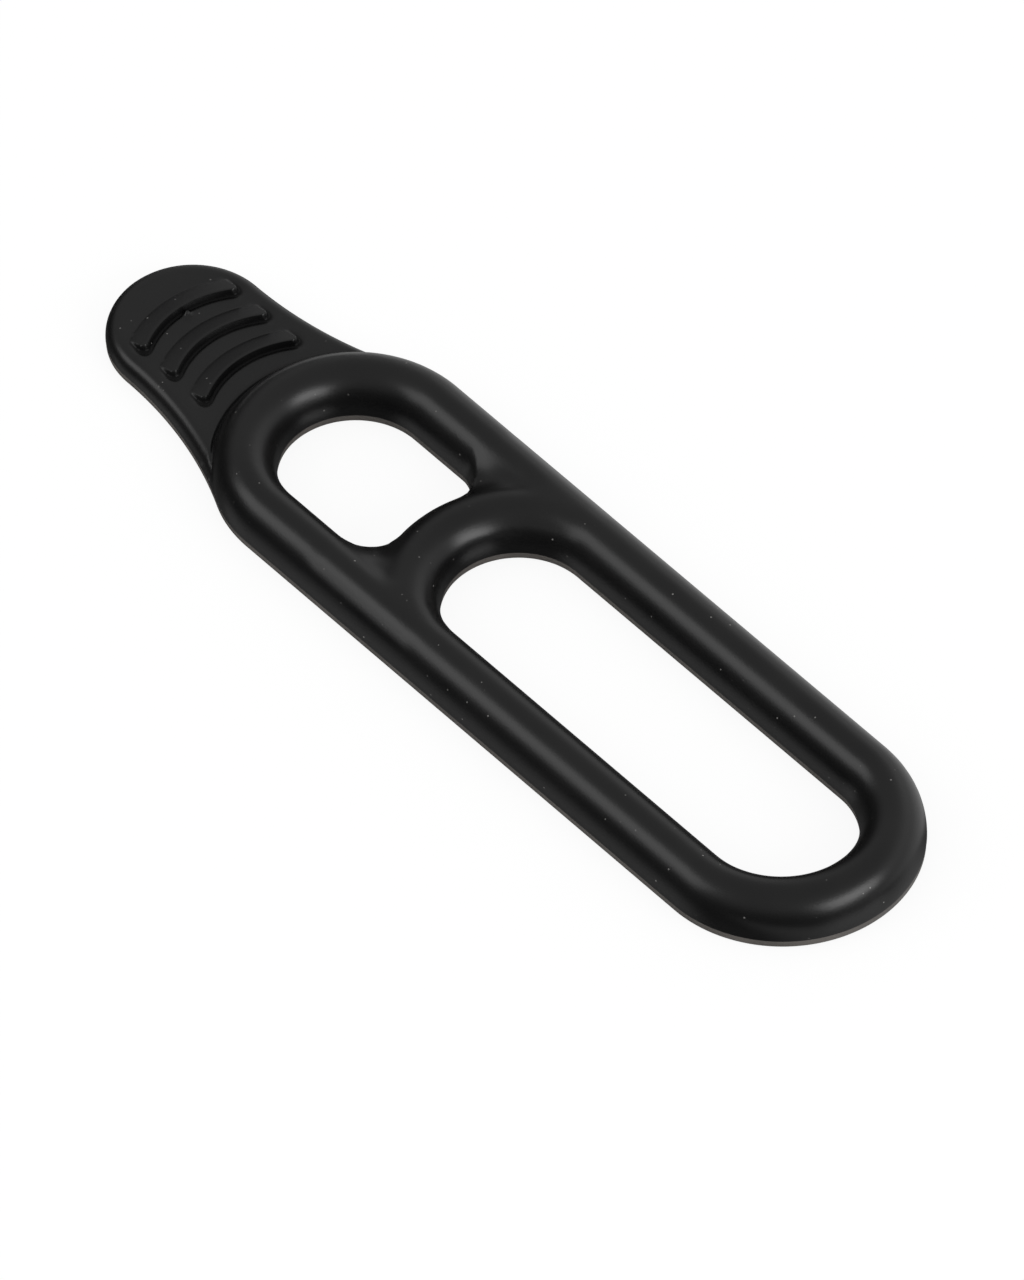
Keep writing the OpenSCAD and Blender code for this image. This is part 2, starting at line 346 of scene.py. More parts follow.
def smooth_step(t):
    """0 to 1 as t goes from 0 to 1, with soft ends."""
    return t * t * (3 - 2 * t)


def root_field():
    """Height of the crowns and webs where the bridge meets the rails, softened, on a regular grid."""
    gx, gy = np.meshgrid(ROOT_X, ROOT_Y)
    ay = np.abs(gy)
    rho = np.hypot(gx - SLOT_X, gy)
    distances = (from_loop, from_slot, from_window)
    edges = [f(gx.ravel(), gy.ravel()).reshape(gx.shape) for f in distances]
    nearest = np.minimum(np.minimum(*edges[:2]), edges[2])
    rail = ridge((ay - RAIL_Y) / RAIL_HALF)
    ring = ridge((rho - 0.5 * (OPEN_R + BRIDGE_R)) / (0.5 * (BRIDGE_R - OPEN_R)))
    # the web lies between the bridge's edge and the rail's, and rises away from the window
    from_ring = np.clip(rho - BRIDGE_R, 0, None)
    from_rail = np.clip(OPEN_R - ay, 0, None)
    under = np.maximum(BRIDGE_R - rho, ay - OPEN_R)
    web = WEB_LOW + WEB_GAIN * from_ring / (from_ring + from_rail + WEB_GAIN_W)
    web = web + WEB_SLOPE * np.clip(edges[2], 0, WEB_SLOPE_W)
    web = web - SINK_SLOPE * np.clip(under - SINK_FROM, 0, None)
    top = soft_max(soft_max(rail, ring, RIM_ROUND), web, WEB_ROUND)
    for d in edges:
        top = np.minimum(top, crown(d, RAIL_HALF))
    inside = (nearest > 0.02).astype(float)
    soft = blur(top * inside) / np.maximum(blur(inside), 1e-6)
    share = smooth_step(np.clip((nearest - STRIP) / FADE_EDGE, 0, 1))
    share = share * smooth_step(np.clip(np.minimum(gx - CORNER_X, SLOT_X - gx) / FADE_END, 0, 1))
    return top * (1 - share) + soft * share


ROOT = root_field()


def root_height(x, y):
    """Height read from ROOT, between the grid's points."""
    i = np.clip((x - ROOT_X[0]) / ROOT_STEP, 0, len(ROOT_X) - 1.001)
    j = np.clip((y - ROOT_Y[0]) / ROOT_STEP, 0, len(ROOT_Y) - 1.001)
    i0, j0 = i.astype(int), j.astype(int)
    u, v = i - i0, j - j0
    low = ROOT[j0, i0] * (1 - u) + ROOT[j0, i0 + 1] * u
    high = ROOT[j0 + 1, i0] * (1 - u) + ROOT[j0 + 1, i0 + 1] * u
    return low * (1 - v) + high * v


def loop_height(x, y):
    """Height of the crowned loops and the bridge."""
    outer = from_loop(x, y)
    head = np.hypot(x - WINDOW_X, y) - OPEN_R
    tail = np.hypot(x - SLOT_TAIL_X, y) - OPEN_R
    inner = np.where(x < WINDOW_X, head, np.where(x > SLOT_TAIL_X, tail, np.abs(y) - OPEN_R))
    wall = np.maximum(inner + outer, 0.5)
    z = ridge(np.clip((inner - outer) / wall, -1, 1))
    at = (x > CORNER_X) & (x < SLOT_X)
    if at.any():
        near = from_edges(x[at], y[at])
        z[at] = np.where(near < STRIP, crown(near, RAIL_HALF), root_height(x[at], y[at]))
    return z


def height(x, y):
    """Top of the head piece."""
    loop = loop_height(x, y)
    loop_in = from_loop(x, y)
    tab_in = from_tab(x, y)
    tab = crown(tab_in, TAB_RUN, BAND, TAB_TOP - BAND) + rib_height(x, y) * (tab_in > 0.9)
    depth, place, half_width = GROOVE
    groove = depth * np.exp(-(((loop_in - place) / half_width) ** 2)) * np.clip(tab_in / 1.2, 0, 1)
    tab = tab - groove
    joined = np.where(loop_in > 0, np.maximum(loop, tab), tab)
    return np.where((x < FLARE_END_X) & (loop_in < 1.2), joined, loop)


def edge_rings(points, closed, normals, others):
    """Points on curves that run along an edge, as far in as they stay nearest to that edge."""
    out = []
    for d in CROWN_D:
        p = points + normals * d
        keep = np.ones(len(p), bool)
        for other in others:
            keep &= other(p[:, 0], p[:, 1]) > d * 0.999
        if not closed:
            keep[0] = keep[-1] = False
        out.append(p[keep])
    return np.vstack(out)


def thin(points, taken, gap):
    """Those points that lie further than gap from every taken one and from each other, on a hash grid."""
    cells = {}

    def cell(p):
        return int(p[0] // gap), int(p[1] // gap)

    def near(p):
        i, j = cell(p)
        for a in (i - 1, i, i + 1):
            for b in (j - 1, j, j + 1):
                for q in cells.get((a, b), ()):
                    if (q[0] - p[0]) ** 2 + (q[1] - p[1]) ** 2 < gap * gap:
                        return True
        return False

    for p in taken:
        cells.setdefault(cell(p), []).append(p)
    out = []
    for p in points:
        if not near(p):
            cells.setdefault(cell(p), []).append(p)
            out.append(p)
    return np.array(out).reshape(-1, 2)


def hex_grid(x0, x1, y1, step):
    """Points of a triangular grid from x0 to x1 and -y1 to y1."""
    rows = []
    dy = step * math.sqrt(3) / 2
    n = int(y1 / dy)
    for j in range(-n, n + 1):
        x = np.arange(x0, x1, step) + (0.5 * step if j % 2 else 0)
        rows.append(np.c_[x, np.full(len(x), j * dy)])
    return np.vstack(rows)


def triangulate(loops, inner, inside):
    """Points and triangles of the plan between closed loops, and the new index of each point given."""
    points, edges = [], []
    for loop in loops:
        n0 = len(points)
        points.extend(Vector((float(a), float(b))) for a, b in loop)
        edges.extend((n0 + i, n0 + (i + 1) % len(loop)) for i in range(len(loop)))
    points.extend(Vector((float(a), float(b))) for a, b in inner)
    got = delaunay_2d_cdt(points, edges, [], 0, 1e-7)
    p = np.array([v[:] for v in got[0]])
    where = {k: i for i, sources in enumerate(got[3]) for k in sources}
    tri = np.array([f for f in got[2] if len(f) == 3])
    a, b, c = p[tri[:, 0]], p[tri[:, 1]], p[tri[:, 2]]
    twice = np.abs((b[:, 0] - a[:, 0]) * (c[:, 1] - a[:, 1]) - (b[:, 1] - a[:, 1]) * (c[:, 0] - a[:, 0]))
    longest = np.max([np.linalg.norm(side, axis=1) for side in (b - a, c - b, a - c)], axis=0)
    # slivers along straight edges are left out
    tri = tri[twice > 0.0008 * longest]
    middle = p[tri].mean(1)
    return p, tri[inside(middle[:, 0], middle[:, 1])], where


def cut_rows():
    """Points across both rails at the head piece's cut, from the inner to the outer edge."""
    y = np.concatenate([OPEN_R + CROWN_D, [RAIL_Y], LOOP_R - CROWN_D[::-1]])
    left = np.c_[np.full(len(y), X0), y]
    return left, left * (1, -1)


def finish_mesh(name, bm, shade_of=None):
    """A smooth object from bm, with its upright band and, if given, its spots of painted shade as
    attributes.
    """
    bmesh.ops.remove_doubles(bm, verts=bm.verts, dist=WELD)
    bmesh.ops.recalc_face_normals(bm, faces=bm.faces)
    band = bm.faces.layers.float.new("band")
    for f in bm.faces:
        f[band] = float(f.calc_center_median().z < BAND_TOP * MM and abs(f.normal.z) < BAND_TILT)
    if shade_of:
        shade = bm.verts.layers.float.new("shade")
        at = np.array([v.co[:] for v in bm.verts]) / MM
        for v, f in zip(bm.verts, shade_of(at[:, 0], at[:, 1], at[:, 2])):
            v[shade] = f
    me = bpy.data.meshes.new(name)
    bm.to_mesh(me)
    bm.free()
    me.shade_smooth()
    me.set_sharp_from_angle(angle=math.radians(SHARP_DEG))
    ob = bpy.data.objects.new(name, me)
    bpy.context.scene.collection.objects.link(ob)
    return ob


def groove_points():
    """Fine rows where the tab meets the head loop."""
    a = np.arange(HEAD_A, 2 * math.pi - HEAD_A, 0.022)
    rows = []
    for d in GROOVE_ROWS:
        p = np.c_[HEAD_X + (LOOP_R - d) * np.cos(a), (LOOP_R - d) * np.sin(a)]
        x, y = p[:, 0], p[:, 1]
        rows.append(p[(from_tab(x, y) > 0.03) & (from_window(x, y) > 0.6) & (x < FLARE_END_X)])
    return np.vstack(rows)


def rib_points():
    """Fine rows along each grip rib, and a fine patch at each end of it."""
    out = []
    for apex in RIB_X:
        for q in RIB_ROWS:
            r = RIB_R + q
            reach = math.asin(ROW_END / r)
            t = np.linspace(-reach, reach, 81)
            out.append(np.c_[apex + RIB_R - r * np.cos(t), r * np.sin(t)])
        patch = hex_grid(apex - 0.5, apex + 3.6, RIB_END + 0.35, PATCH_STEP)
        q = np.hypot(patch[:, 0] - apex - RIB_R, patch[:, 1]) - RIB_R
        out.append(patch[(np.abs(patch[:, 1]) > PATCH_FROM) & (q > -0.45) & (q < RIB_W + 0.15)])
    ribs = np.vstack(out)
    return ribs[from_tab(ribs[:, 0], ribs[:, 1]) > 1.0]


def grid_points(x0, x1, step, inset, y1=LOOP_R):
    """Points of a triangular grid that lie further in than inset from every edge."""
    grid = hex_grid(x0, x1, y1, step)
    return grid[from_edges(grid[:, 0], grid[:, 1]) > inset]


def top_points(rings, edges):
    """Inner points of the top's triangles: each kind keeps its distance from the kinds before it."""
    nothing = np.zeros((0, 2))
    groove = thin(groove_points(), np.vstack([OUTER, WINDOW, SLOT]), 0.03)
    x, y = rings[:, 0], rings[:, 1]
    loop_in = from_loop(x, y)
    at_groove = (x < FLARE_END_X) & (loop_in > -0.6) & (loop_in < 1.8)
    rings = rings[~(at_groove & (from_tab(x, y) > 1.0) & (from_window(x, y) > 2.0))]
    rings = thin(rings, nothing, RING_GAP)
    groove = thin(groove, rings, GROOVE_GAP)
    ribs = thin(rib_points(), np.vstack([rings, groove]), RIB_GAP)
    middle = np.vstack([line((HEAD_X, s * RAIL_Y), (X0 - 0.2, s * RAIL_Y), STEP) for s in (1, -1)])
    middle = middle[(middle[:, 0] < CORNER_X) | (middle[:, 0] > SLOT_X)]
    middle = thin(middle, nothing, MIDDLE_GAP)
    roots = grid_points(CORNER_X - 1.5, -0.5, FINE_STEP, 0.55, y1=9.2)
    roots = roots[np.abs(roots[:, 1]) > 3.4]
    roots = thin(roots, np.vstack([edges, rings, groove, ribs, middle]), ROOT_GAP)
    grid = grid_points(TAB_END_X, X0 - 0.1, TOP_STEP, CROWN_D[-1] - 0.4)
    grid = thin(grid, np.vstack([edges, rings, groove, ribs, middle, roots]), TOP_GAP)
    return np.vstack([rings, groove, ribs, middle, roots, grid])


def skirt(bm, row, points, normals, closed):
    """The side below a row of the top's edge vertices, and the points where it meets the underside."""
    # the side starts exactly at the parting line
    for v, (a, b) in zip(row, points):
        v.co = (a * MM, b * MM, BAND * MM)
    n = len(points)
    for inset, level in WALL:
        q = points + normals * inset
        new = [bm.verts.new((q[i, 0] * MM, q[i, 1] * MM, level * MM)) for i in range(n)]
        for i in range(n if closed else n - 1):
            j = (i + 1) % n
            bm.faces.new((row[i], row[j], new[j], new[i]))
        row = new
    return points + normals * UNDER_IN


def underside(bm, loops):
    """Flat triangles between the skirts' lowest rows, finer where the neck bends."""
    wide = grid_points(TAB_END_X, X0 - 0.3, UNDER_STEP, UNDER_IN + 0.3)
    wide = wide[(wide[:, 0] < NECK[0] - 0.2) | (wide[:, 0] > NECK[1] + 0.2)]
    fine = grid_points(*NECK, NECK_STEP, UNDER_IN + 0.3)

    def inside(x, y):
        return in_plan(x, y, UNDER_IN + 0.0003)

    p, tri, _ = triangulate(loops, np.vstack([wide, fine]), inside)
    verts = [bm.verts.new((a * MM, b * MM, 0)) for a, b in p]
    for t in tri:
        bm.faces.new([verts[i] for i in t])


def head_piece():
    """Tab, head loop and bridge, up to the first cut across the rails."""
    outer_n = inward_normals(OUTER, False, from_outside)
    slot_n = inward_normals(SLOT, False, from_slot)
    window_n = inward_normals(WINDOW, True, from_window)
    cut_left, cut_right = cut_rows()
    outline = np.vstack([OUTER, cut_left[::-1], SLOT, cut_right])
    rings = np.vstack(
        [
            edge_rings(OUTER, False, outer_n, (from_window, from_slot)),
            edge_rings(SLOT, False, slot_n, (from_window, from_outside)),
            edge_rings(WINDOW, True, window_n, (from_slot, from_outside)),
        ]
    )
    inner = top_points(rings, np.vstack([outline, WINDOW]))
    p, tri, where = triangulate([outline, WINDOW], inner, in_plan)
    x, y = p[:, 0], p[:, 1]
    bm = bmesh.new()
    verts = [bm.verts.new((a * MM, b * MM, c * MM)) for a, b, c in zip(x, y, height(x, y))]
    for t in tri:
        bm.faces.new([verts[i] for i in t])

    def down(points, normals, closed, first):
        row = [verts[where[first + i]] for i in range(len(points))]
        return skirt(bm, row, points, normals, closed)

    outer_low = down(OUTER, outer_n, False, 0)
    slot_low = down(SLOT, slot_n, False, len(OUTER) + len(cut_left))
    window_low = down(WINDOW, window_n, True, len(outline))
    underside(bm, [np.vstack([outer_low, slot_low]), window_low])
    bmesh.ops.remove_doubles(bm, verts=bm.verts, dist=WELD)
    # what is still open are the two ends at the cut
    bmesh.ops.holes_fill(bm, edges=[e for e in bm.edges if len(e.link_faces) == 1], sides=0)
    return finish_mesh("tab_and_head_loop", bm, rib_shade)


def section():
    """Closed cross-section of a wall, as points of three numbers: the share of the wall's width from its
    inner edge, a fixed distance added to that, and the height."""
    angles = np.radians(CROWN_DEG)
    shares = 0.5 * (1 - np.cos(angles))
    levels = BAND + RISE * np.sin(angles)
    points = [(0.0, 0.0, BAND)]
    points += [(a, 0.0, b) for a, b in zip(shares, levels)]
    points += [(0.5, 0.0, CROWN)]
    points += [(1 - a, 0.0, b) for a, b in zip(shares[::-1], levels[::-1])]
    points += [(1.0, 0.0, BAND)]
    points += [(1.0, -inset, level) for inset, level in WALL]
    points += [(share, 0.0, 0.0) for share in (0.75, 0.5, 0.25)]
    points += [(0.0, inset, level) for inset, level in WALL[::-1]]
    return points


SECTION = section()


def sweep(name, inner, outer):
    """A wall swept between matching rows of inner and outer edge points, closed at both ends."""
    bm = bmesh.new()
    rows = []
    for a, b in zip(inner, outer):
        a, b = np.array(a), np.array(b)
        w = np.linalg.norm(b - a)
        u = (b - a) / w
        row = []
        for share, inset, level in SECTION:
            p = a + u * (share * w + inset)
            row.append(bm.verts.new((p[0] * MM, p[1] * MM, level * MM)))
        rows.append(row)
    n = len(SECTION)
    for r, s in zip(rows, rows[1:]):
        for i in range(n):
            j = (i + 1) % n
            bm.faces.new((r[i], r[j], s[j], s[i]))
    bm.faces.new(rows[0])
    bm.faces.new(rows[-1][::-1])
    return finish_mesh(name, bm)


def rail(name, x0, x1, side):
    """A straight piece of one rail: side is 1 for the left one and -1 for the right one."""
    xs = np.linspace(x0, x1, int((x1 - x0) / STEP) + 1)
    return sweep(name, [(x, side * OPEN_R) for x in xs], [(x, side * LOOP_R) for x in xs])


def tail_piece():
    """The tail loop's round end with both rails, from the last cut on."""
    x0 = CUTS[-1]
    k = np.linspace(0, 1, int((SLOT_TAIL_X - x0) / STEP) + 1)
    inner_x = x0 + (SLOT_TAIL_X - x0) * k
    outer_x = x0 + (TAIL_X - x0) * k
    angles = np.linspace(HALF, -HALF, 121)[1:-1]
    inner = [(x, OPEN_R) for x in inner_x]
    inner += [(SLOT_TAIL_X + OPEN_R * math.cos(a), OPEN_R * math.sin(a)) for a in angles]
    inner += [(x, -OPEN_R) for x in inner_x[::-1]]
    outer = [(x, LOOP_R) for x in outer_x]
    outer += [(min(TAIL_X + LOOP_R * math.cos(a), TAIL_END_X), LOOP_R * math.sin(a)) for a in angles]
    outer += [(x, -LOOP_R) for x in outer_x[::-1]]
    return sweep("tail_loop_skin", inner, outer)


def both(stem):
    """The names of a pair of nodes on the left and the right rail."""
    return [f"{stem}_left", f"{stem}_right"]


skins = []
head = head_piece()
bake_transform(head)
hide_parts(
    "tab_tip",
    "tab_body",
    "grip_rib_outer",
    "grip_rib_middle",
    "grip_rib_inner",
    "neck_flex",
    "tab_shoulders",
    "head_arc",
    "bridge",
    *both("side_rail"),
    *both("bridge_root"),
    *both("root_rail"),
)
skins.append(head)

# Each pair of straight pieces: its name, the bodies that it blends between, and the nodes it replaces
RUNS = (
    ("front", "head_loop", "front_rails", ("front_flex", "front_rail")),
    ("middle", "front_rails", "middle_rails", ("middle_flex", "middle_rail")),
    ("stretch", "middle_rails", "rear_rails", ("stretch", "rear_rail")),
)
for i, (stem, body_a, body_b, nodes) in enumerate(RUNS):
    for side, tag in ((1, "left"), (-1, "right")):
        ob = rail(f"{stem}_skin_{tag}", CUTS[i], CUTS[i + 1], side)
        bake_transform(ob)
        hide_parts(*[f"{n}_{tag}" for n in nodes])
        skins.append(ob)

tail = tail_piece()
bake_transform(tail)
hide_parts("tail_arc", *both("tail_flex"), *both("tail_rail"))
skins.append(tail)


# ---- Shader helpers
def nodes_of(holder):
    """An emptied node tree, and short names for adding and joining nodes."""
    holder.use_nodes = True
    nt = holder.node_tree
    nt.nodes.clear()
    return nt, nt.nodes.new, nt.links.new


def math_node(nt, operation, a, b):
    """Output of a math node on two sockets or numbers."""
    n = nt.nodes.new("ShaderNodeMath")
    n.operation = operation
    for socket, v in zip(n.inputs, (a, b)):
        if isinstance(v, (int, float)):
            socket.default_value = v
        else:
            nt.links.new(v, socket)
    return n.outputs[0]


def range_node(nt, socket, low, high, to_low, to_high, interpolation="SMOOTHSTEP"):
    """A socket's value from low to high, turned into to_low to to_high."""
    n = nt.nodes.new("ShaderNodeMapRange")
    n.interpolation_type = interpolation
    for key, v in (("From Min", low), ("From Max", high), ("To Min", to_low), ("To Max", to_high)):
        n.inputs[key].default_value = v
    nt.links.new(socket, n.inputs["Value"])
    return n.outputs["Result"]


def noise_node(nt, place, scale, detail):
    """Soft noise from 0 to 1 at the given places."""
    n = nt.nodes.new("ShaderNodeTexNoise")
    n.inputs["Scale"].default_value = scale
    n.inputs["Detail"].default_value = detail
    nt.links.new(place, n.inputs["Vector"])
    return n.outputs["Fac"]


def mix_colour(nt, share, under, over):
    """A socket's colour, covered by a fixed one to a share."""
    n = nt.nodes.new("ShaderNodeMix")
    n.data_type = "RGBA"
    nt.links.new(share, n.inputs["Factor"])
    nt.links.new(under, n.inputs["A"])
    n.inputs["B"].default_value = over
    return n.outputs["Result"]


def mix_shaders(nt, share, first, second):
    """The first shader, covered by the second to a share."""
    n = nt.nodes.new("ShaderNodeMixShader")
    nt.links.new(share, n.inputs[0])
    nt.links.new(first, n.inputs[1])
    nt.links.new(second, n.inputs[2])
    return n.outputs[0]


def attribute_node(nt, name):
    """A number stored in the mesh under this name, 0 where it has none."""
    n = nt.nodes.new("ShaderNodeAttribute")
    n.attribute_name = name
    return n.outputs["Fac"]


# Cells of dust per metre, a speck's radius in cells, and the share of cells that have none
DUST_CELLS, DUST_R, DUST_FREE = 1500, 0.1, 0.72


def dust(nt, place):
    """Sparse specks: a small ball, of any brightness, in some cells of a fine grid."""
    cells = nt.nodes.new("ShaderNodeTexVoronoi")
    cells.inputs["Scale"].default_value = DUST_CELLS
    nt.links.new(place, cells.inputs["Vector"])
    near = math_node(nt, "LESS_THAN", cells.outputs["Distance"], DUST_R)
    pick = nt.nodes.new("ShaderNodeSeparateColor")
    nt.links.new(cells.outputs["Color"], pick.inputs[0])
    few = math_node(nt, "GREATER_THAN", pick.outputs[0], DUST_FREE)
    return math_node(nt, "MULTIPLY", math_node(nt, "MULTIPLY", near, few), pick.outputs[1])


# Colours of the rubber where it is darkest and palest, of its dust, and of the painted floor light on the
# band under the parting line
DARKEST = (0.0026, 0.0026, 0.0028, 1)
DARK = (0.0048, 0.0047, 0.0047, 1)
DUST = (0.16, 0.155, 0.15, 1)
PAINTED_FLOOR_LIGHT = (0.11, 0.1, 0.092, 1)
# Range of the rubber's roughness, and its specular level, which the spots of painted shade lose most of
ROUGHNESS = (0.27, 0.35)
SPECULAR, SHADE_LOSS = 0.5, 0.8


def rubber():
    """Black moulded rubber: a soft sheen, a faint skin of the mould, sparse light dust, painted floor light
    on the band under the parting line, and painted shade along the ribs' steep faces.
    """
    m = bpy.data.materials.new("black_rubber")
    nt, new, link = nodes_of(m)
    out = new("ShaderNodeOutputMaterial")
    bsdf = new("ShaderNodeBsdfPrincipled")
    link(bsdf.outputs[0], out.inputs[0])
    place = new("ShaderNodeTexCoord").outputs["Object"]
    cloud = noise_node(nt, place, scale=160, detail=4)
    tone = new("ShaderNodeValToRGB")
    for stop, position, colour in zip(tone.color_ramp.elements, (0.3, 0.75), (DARKEST, DARK)):
        stop.position = position
        stop.color = colour
    link(cloud, tone.inputs["Fac"])
    dusty = mix_colour(nt, dust(nt, place), tone.outputs["Color"], DUST)
    # painted light: the upright band below the parting line is paler than the crown, standing in for the
    # white floor's light that it catches and mirrors
    band = math_node(nt, "MULTIPLY", attribute_node(nt, "band"), math_node(nt, "ADD", cloud, 0.3))
    link(mix_colour(nt, band, dusty, PAINTED_FLOOR_LIGHT), bsdf.inputs["Base Color"])
    link(range_node(nt, cloud, 0.0, 1.0, *ROUGHNESS, "LINEAR"), bsdf.inputs["Roughness"])
    # painted shade: the ribs' steep faces and feet lose most of their sheen, standing in for the shade the
    # ribs cast there
    kept_off = math_node(nt, "MULTIPLY", attribute_node(nt, "shade"), SHADE_LOSS)
    lit = math_node(nt, "SUBTRACT", 1.0, kept_off)
    link(math_node(nt, "MULTIPLY", lit, SPECULAR), bsdf.inputs["Specular IOR Level"])
    bump = new("ShaderNodeBump")
    bump.inputs["Strength"].default_value = 0.12
    bump.inputs["Distance"].default_value = 0.00004
    link(noise_node(nt, place, scale=5200, detail=2), bump.inputs["Height"])
    link(bump.outputs["Normal"], bsdf.inputs["Normal"])
    return m


skin_material = rubber()
for ob in skins:
    ob.data.materials.clear()
    ob.data.materials.append(skin_material)
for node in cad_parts.values():
    node.data.materials.clear()
    node.data.materials.append(skin_material)

# ---- Camera: at the photograph's angle, aimed so that the tail's centre falls where it does there
AZ, EL = 0.84855, 0.84026
# Pixels per millimetre at the tail's centre, and the camera's distance from it in millimetres
PIXELS_PER_MM = 14.25
FAR = 2000.0
# Where the tail's centre falls in the picture, and the picture's size
PIXEL = (782.47, 839.78)
WIDTH, HEIGHT = 1024, 1280
SENSOR = 36


def set_camera():
    """A camera far off that looks down at the strap from the photograph's side."""
    focal = PIXELS_PER_MM * FAR
    right = Vector((math.cos(AZ), math.sin(AZ), 0))
    back = Vector((math.sin(AZ) * math.cos(EL), -math.cos(AZ) * math.cos(EL), math.sin(EL)))
    up = back.cross(right)
    place = Vector((TAIL_X, 0, 0)) + back * FAR
    # turned aside from the tail's centre, which lies off the middle of the picture
    aside = (PIXEL[0] - WIDTH / 2) / focal
    above = -(PIXEL[1] - HEIGHT / 2) / focal
    back = (back + right * aside + up * above).normalized()
    right = (right - back * right.dot(back)).normalized()
    up = back.cross(right)
    data = bpy.data.cameras.new("camera")
    data.sensor_fit = "HORIZONTAL"
    data.sensor_width = SENSOR
    data.lens = focal / WIDTH * SENSOR
    data.clip_start = 0.01
    data.clip_end = 100
    ob = bpy.data.objects.new("camera", data)
    axes = Matrix((right, up, back)).transposed().to_4x4()
    ob.matrix_world = Matrix.Translation(place * MM) @ axes
    bpy.context.scene.collection.objects.link(ob)
    bpy.context.scene.camera = ob


set_camera()


# ---- Floor, surroundings and lamps
def seen_white(nt, strength):
    """strength where the camera, a mirror or glass looks at the background, and 0 for all other light."""
    path = nt.nodes.new("ShaderNodeLightPath")
    seen = math_node(nt, "MAXIMUM", path.outputs["Is Camera Ray"], path.outputs["Is Glossy Ray"])
    seen = math_node(nt, "MAXIMUM", seen, path.outputs["Is Transmission Ray"])
    return math_node(nt, "MULTIPLY", seen, strength)


def sheet_at(name, z, half):
    """A square sheet for the stage, at height z."""
    me = bpy.data.meshes.new(name)
    corners = [(-half, -half, 0), (half, -half, 0), (half, half, 0), (-half, half, 0)]
    me.from_pydata(corners, [], [(0, 1, 2, 3)])
    ob = bpy.data.objects.new(name, me)
    ob.location.z = z
    bpy.context.scene.collection.objects.link(ob)
    return ob


def floor():
    """White to the camera, with the strap's soft shadow on it."""
    ob = sheet_at("floor", -0.00003, 3.0)
    m = bpy.data.materials.new("floor_white")
    nt, new, link = nodes_of(m)
    out = new("ShaderNodeOutputMaterial")
    plain = new("ShaderNodeBsdfDiffuse")
    plain.inputs["Color"].default_value = (0.88, 0.88, 0.88, 1)
    glow = new("ShaderNodeEmission")
    link(mix_shaders(nt, seen_white(nt, 0.88), plain.outputs[0], glow.outputs[0]), out.inputs[0])
    ob.data.materials.append(m)


def only_mirrored(ob):
    """ob shows only in the rubber's sheen, as a studio's dark surroundings do."""
    ob.visible_camera = False
    ob.visible_diffuse = False
    ob.visible_shadow = False
    ob.visible_transmission = False


# Where the table glows, painting reflections in the rubber's flanks, in metres: from Y on beside the far
# rail, and a strip in X at the tail's end
PAINTED_GLOW_Y = (0.0088, 0.0115)
PAINTED_GLOW_X = (0.0365, 0.041)
GLOW_END_X = (0.0425, 0.046)
STRIP_GLOW = 0.6


def table():
    """A dark glossy table top seen only in the rubber's reflections: its dark gloss paints dark reflections
    in place of the white floor, and its glowing strips paint reflections on the rubber's flanks.
    """
    ob = sheet_at("table_painted_reflection", -0.00002, 2.5)
    m = bpy.data.materials.new("table_painted_reflection")
    nt, new, link = nodes_of(m)
    out = new("ShaderNodeOutputMaterial")
    gloss = new("ShaderNodeBsdfGlossy")
    gloss.inputs["Color"].default_value = (0.21, 0.21, 0.21, 1)
    gloss.inputs["Roughness"].default_value = 0.2
    sep = new("ShaderNodeSeparateXYZ")
    link(new("ShaderNodeTexCoord").outputs["Object"], sep.inputs[0])
    far = range_node(nt, sep.outputs["Y"], *PAINTED_GLOW_Y, 0.0, 1.0)
    rising = range_node(nt, sep.outputs["X"], *PAINTED_GLOW_X, 0.0, 1.0)
    falling = range_node(nt, sep.outputs["X"], *GLOW_END_X, 1.0, 0.0)
    beyond = math_node(nt, "MULTIPLY", math_node(nt, "MULTIPLY", rising, falling), STRIP_GLOW)
    glow = new("ShaderNodeEmission")
    glow.inputs["Strength"].default_value = 0.65
    lit = math_node(nt, "MAXIMUM", far, beyond)
    link(mix_shaders(nt, lit, gloss.outputs[0], glow.outputs[0]), out.inputs[0])
    ob.data.materials.append(m)
    only_mirrored(ob)


# Glow of the room, painted into the rubber's reflections: low down, above, and behind the strap
ROOM_LOW, ROOM_TOP, ROOM_BACK = 0.02, 0.38, 0.52
# Where those zones begin and end, as shares of the room's radius
ABOVE_Z, BEHIND_Y, BEHIND_Z = (0.1, 0.62), (0.38, 0.85), (0.3, 0.75)
ROOM_R = 2.6


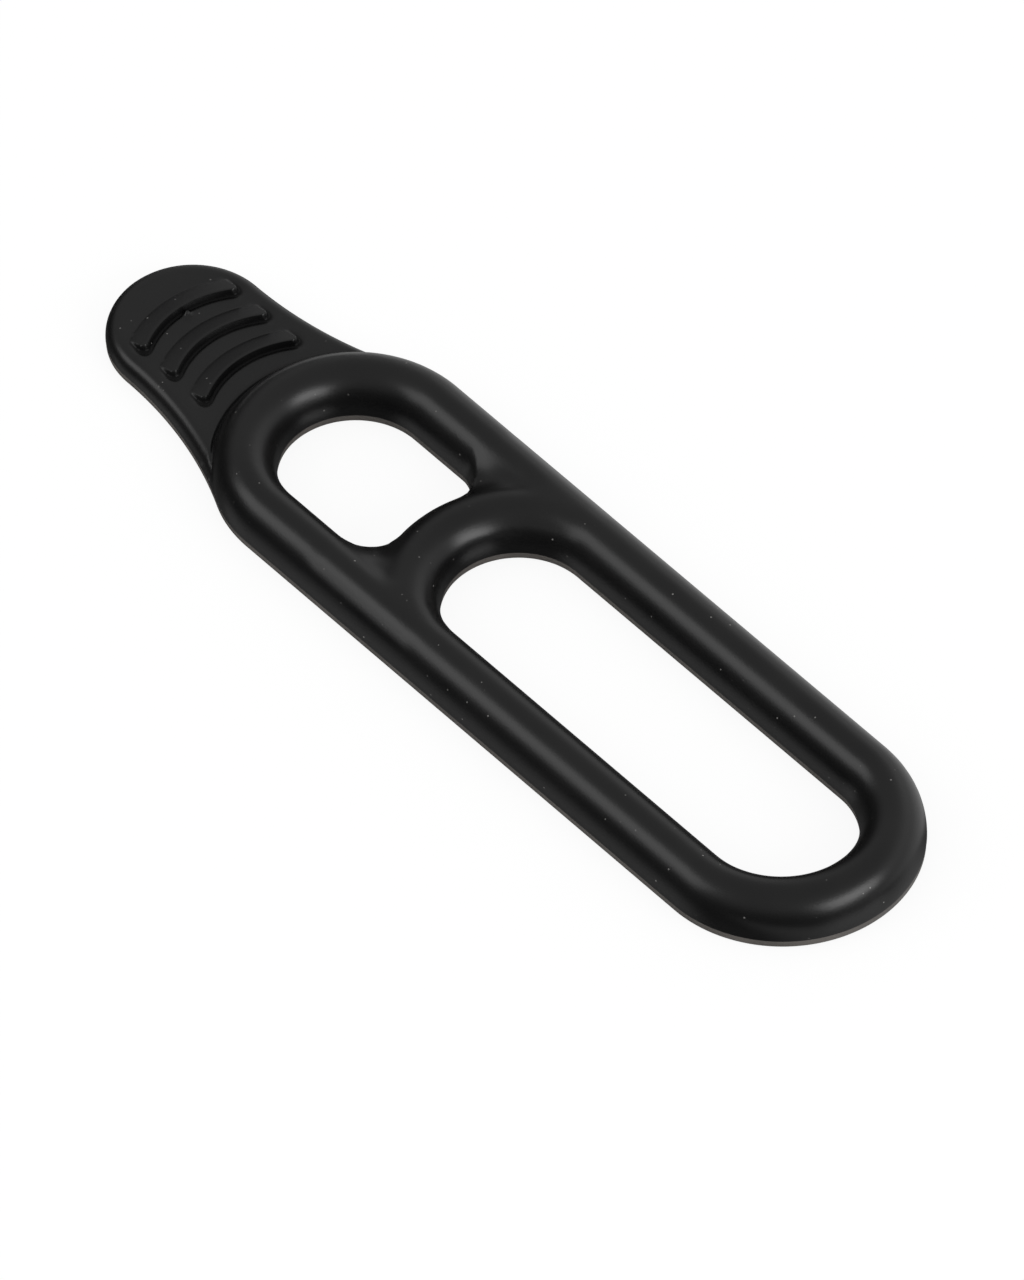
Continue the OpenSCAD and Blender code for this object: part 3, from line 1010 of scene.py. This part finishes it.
def room():
    """A glowing dome seen only in the rubber's reflections, painting a dim studio there: pale above and
    behind, dark low down in front.
    """
    bm = bmesh.new()
    bmesh.ops.create_uvsphere(bm, u_segments=64, v_segments=32, radius=1.0)
    me = bpy.data.meshes.new("room")
    bm.to_mesh(me)
    bm.free()
    ob = bpy.data.objects.new("room", me)
    ob.scale = (ROOM_R, ROOM_R, ROOM_R)
    bpy.context.scene.collection.objects.link(ob)
    m = bpy.data.materials.new("room_dim")
    nt, new, link = nodes_of(m)
    out = new("ShaderNodeOutputMaterial")
    glow = new("ShaderNodeEmission")
    sep = new("ShaderNodeSeparateXYZ")
    link(new("ShaderNodeTexCoord").outputs["Object"], sep.inputs[0])
    over = range_node(nt, sep.outputs["Z"], *ABOVE_Z, ROOM_LOW, ROOM_TOP)
    behind = range_node(nt, sep.outputs["Y"], *BEHIND_Y, 0.0, ROOM_BACK)
    low = range_node(nt, sep.outputs["Z"], *BEHIND_Z, 1.0, 0.0)
    total = math_node(nt, "ADD", over, math_node(nt, "MULTIPLY", behind, low))
    link(total, glow.inputs["Strength"])
    link(glow.outputs[0], out.inputs[0])
    me.materials.append(m)
    only_mirrored(ob)


def white_world():
    """White where the camera looks past the floor, and a little dimmer as light."""
    world = bpy.data.worlds.new("world")
    bpy.context.scene.world = world
    nt, new, link = nodes_of(world)
    out = new("ShaderNodeOutputWorld")
    dim = new("ShaderNodeBackground")
    dim.inputs["Strength"].default_value = 0.95
    white = new("ShaderNodeBackground")
    for shader in (dim, white):
        shader.inputs["Color"].default_value = (1, 1, 1, 1)
    link(mix_shaders(nt, seen_white(nt, 1.0), dim.outputs[0], white.outputs[0]), out.inputs[0])


def softbox(name, azimuth, elevation, size_x, size_y, brightness):
    """A rectangular lamp 1 m away that faces the strap.  Azimuth is from +X towards +Y, in degrees."""
    data = bpy.data.lights.new(name, "AREA")
    data.shape = "RECTANGLE"
    data.size = size_x
    data.size_y = size_y
    data.energy = math.pi * size_x * size_y * brightness
    ob = bpy.data.objects.new(name, data)
    a, e = math.radians(azimuth), math.radians(elevation)
    d = Vector((math.cos(a) * math.cos(e), math.sin(a) * math.cos(e), math.sin(e)))
    ob.location = d
    ob.rotation_euler = d.to_track_quat("Z", "Y").to_euler()
    ob.visible_camera = False
    bpy.context.scene.collection.objects.link(ob)


floor()
table()
room()
white_world()
softbox("softbox_left", azimuth=-128, elevation=33, size_x=0.75, size_y=0.5, brightness=1.5)
softbox("softbox_right", azimuth=12, elevation=25, size_x=0.72, size_y=0.38, brightness=4.2)

bpy.context.scene.view_settings.view_transform = "Standard"
